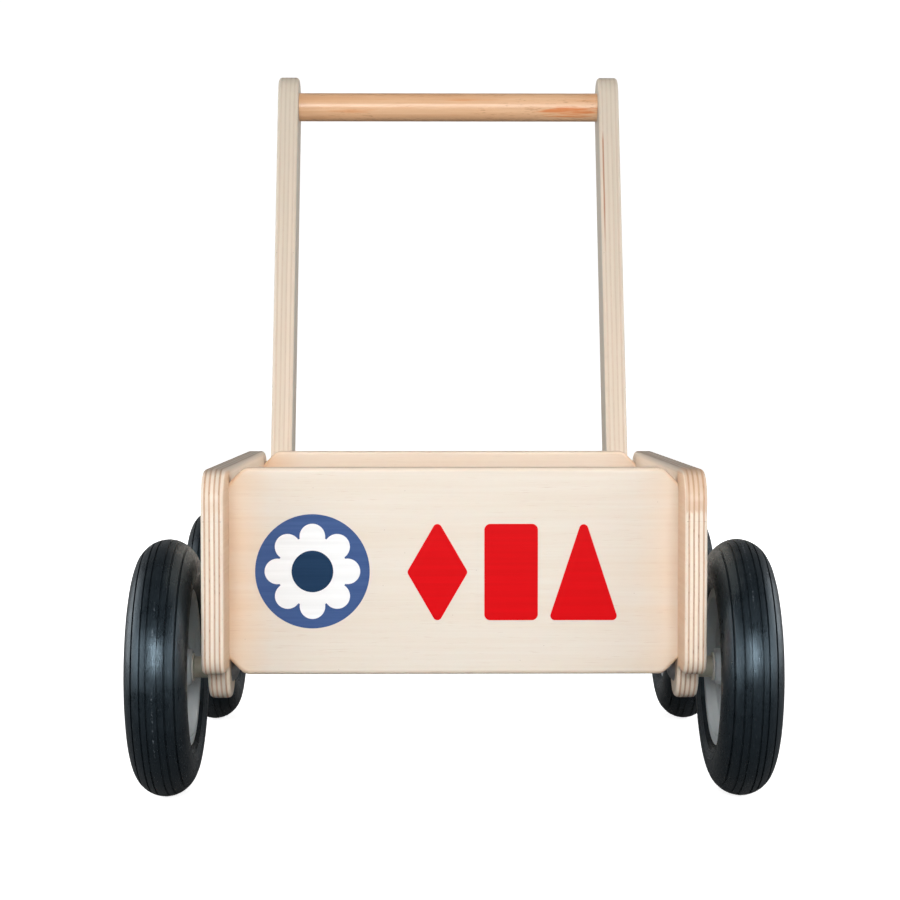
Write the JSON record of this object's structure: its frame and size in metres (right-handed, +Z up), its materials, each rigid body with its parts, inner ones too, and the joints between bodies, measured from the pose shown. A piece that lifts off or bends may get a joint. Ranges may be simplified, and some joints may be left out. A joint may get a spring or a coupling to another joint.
{
  "type": "baby walker",
  "caption": "Wooden push wagon for learning to walk: an open plywood box on four free-rolling rubber-tyred wheels, with a round handle bar on two leaning uprights.",
  "frame": {"origin": "on the floor, below the middle of the whole wagon's length and width", "axes": "+X across the wagon, to the right for someone who faces it from its nose, +Y from the nose to the handle, +Z up"},
  "size_m": [0.431, 0.5502, 0.553],
  "materials": {
    "birch_plywood": "clear satin lacquer on pale plywood with light and dark edge layers",
    "beech": "satin lacquered beech dowel",
    "black_rubber": "satin black rubber with fine circumferential grooves",
    "grey_plastic": "moulded light grey plastic",
    "white_nylon": "natural nylon",
    "zinc_plated_steel": "bright zinc plated",
    "blue_vinyl": "satin vinyl film",
    "white_vinyl": "satin vinyl film",
    "navy_vinyl": "satin vinyl film",
    "red_vinyl": "satin vinyl film"
  },
  "bodies": {
    "wagon": {"side_panel_left": "birch_plywood", "side_panel_right": "birch_plywood", "front_panel": "birch_plywood", "rear_panel": "birch_plywood", "floor_panel": "birch_plywood", "upright_left": "birch_plywood", "upright_right": "birch_plywood", "handle_bar": "beech", "panel_screws": "zinc_plated_steel", "floor_screws": "zinc_plated_steel", "handle_screws": "zinc_plated_steel", "upright_bolts": "zinc_plated_steel", "upright_sleeve_nuts": "zinc_plated_steel", "front_axle_bolts": "zinc_plated_steel", "rear_axle_bolts": "zinc_plated_steel", "axle_spacers": "grey_plastic", "axle_washers": "zinc_plated_steel", "axle_nuts": "zinc_plated_steel", "badge_disc": "blue_vinyl", "badge_flower": "white_vinyl", "badge_centre": "navy_vinyl", "decal_diamond": "red_vinyl", "decal_block": "red_vinyl", "decal_triangle": "red_vinyl"},
    "wheel_front_left": {"tyre_front_left": "black_rubber", "rim_front_left": "grey_plastic", "bush_front_left": "white_nylon", "hub_cap_front_left": "grey_plastic"},
    "wheel_front_right": {"tyre_front_right": "black_rubber", "rim_front_right": "grey_plastic", "bush_front_right": "white_nylon", "hub_cap_front_right": "grey_plastic"},
    "wheel_rear_left": {"tyre_rear_left": "black_rubber", "rim_rear_left": "grey_plastic", "bush_rear_left": "white_nylon", "hub_cap_rear_left": "grey_plastic"},
    "wheel_rear_right": {"tyre_rear_right": "black_rubber", "rim_rear_right": "grey_plastic", "bush_rear_right": "white_nylon", "hub_cap_rear_right": "grey_plastic"}
  },
  "joints": [
    {"name": "wheel_front_left_spin", "type": "hinge", "parent": "wagon", "child": "wheel_front_left", "pos_m": [-0.195, -0.18761, 0.0875], "axis": [1, 0, 0], "continuous": true},
    {"name": "wheel_front_right_spin", "type": "hinge", "parent": "wagon", "child": "wheel_front_right", "pos_m": [0.195, -0.18761, 0.0875], "axis": [1, 0, 0], "continuous": true},
    {"name": "wheel_rear_left_spin", "type": "hinge", "parent": "wagon", "child": "wheel_rear_left", "pos_m": [-0.195, 0.12139, 0.0875], "axis": [1, 0, 0], "continuous": true},
    {"name": "wheel_rear_right_spin", "type": "hinge", "parent": "wagon", "child": "wheel_rear_right", "pos_m": [0.195, 0.12139, 0.0875], "axis": [1, 0, 0], "continuous": true}
  ]
}
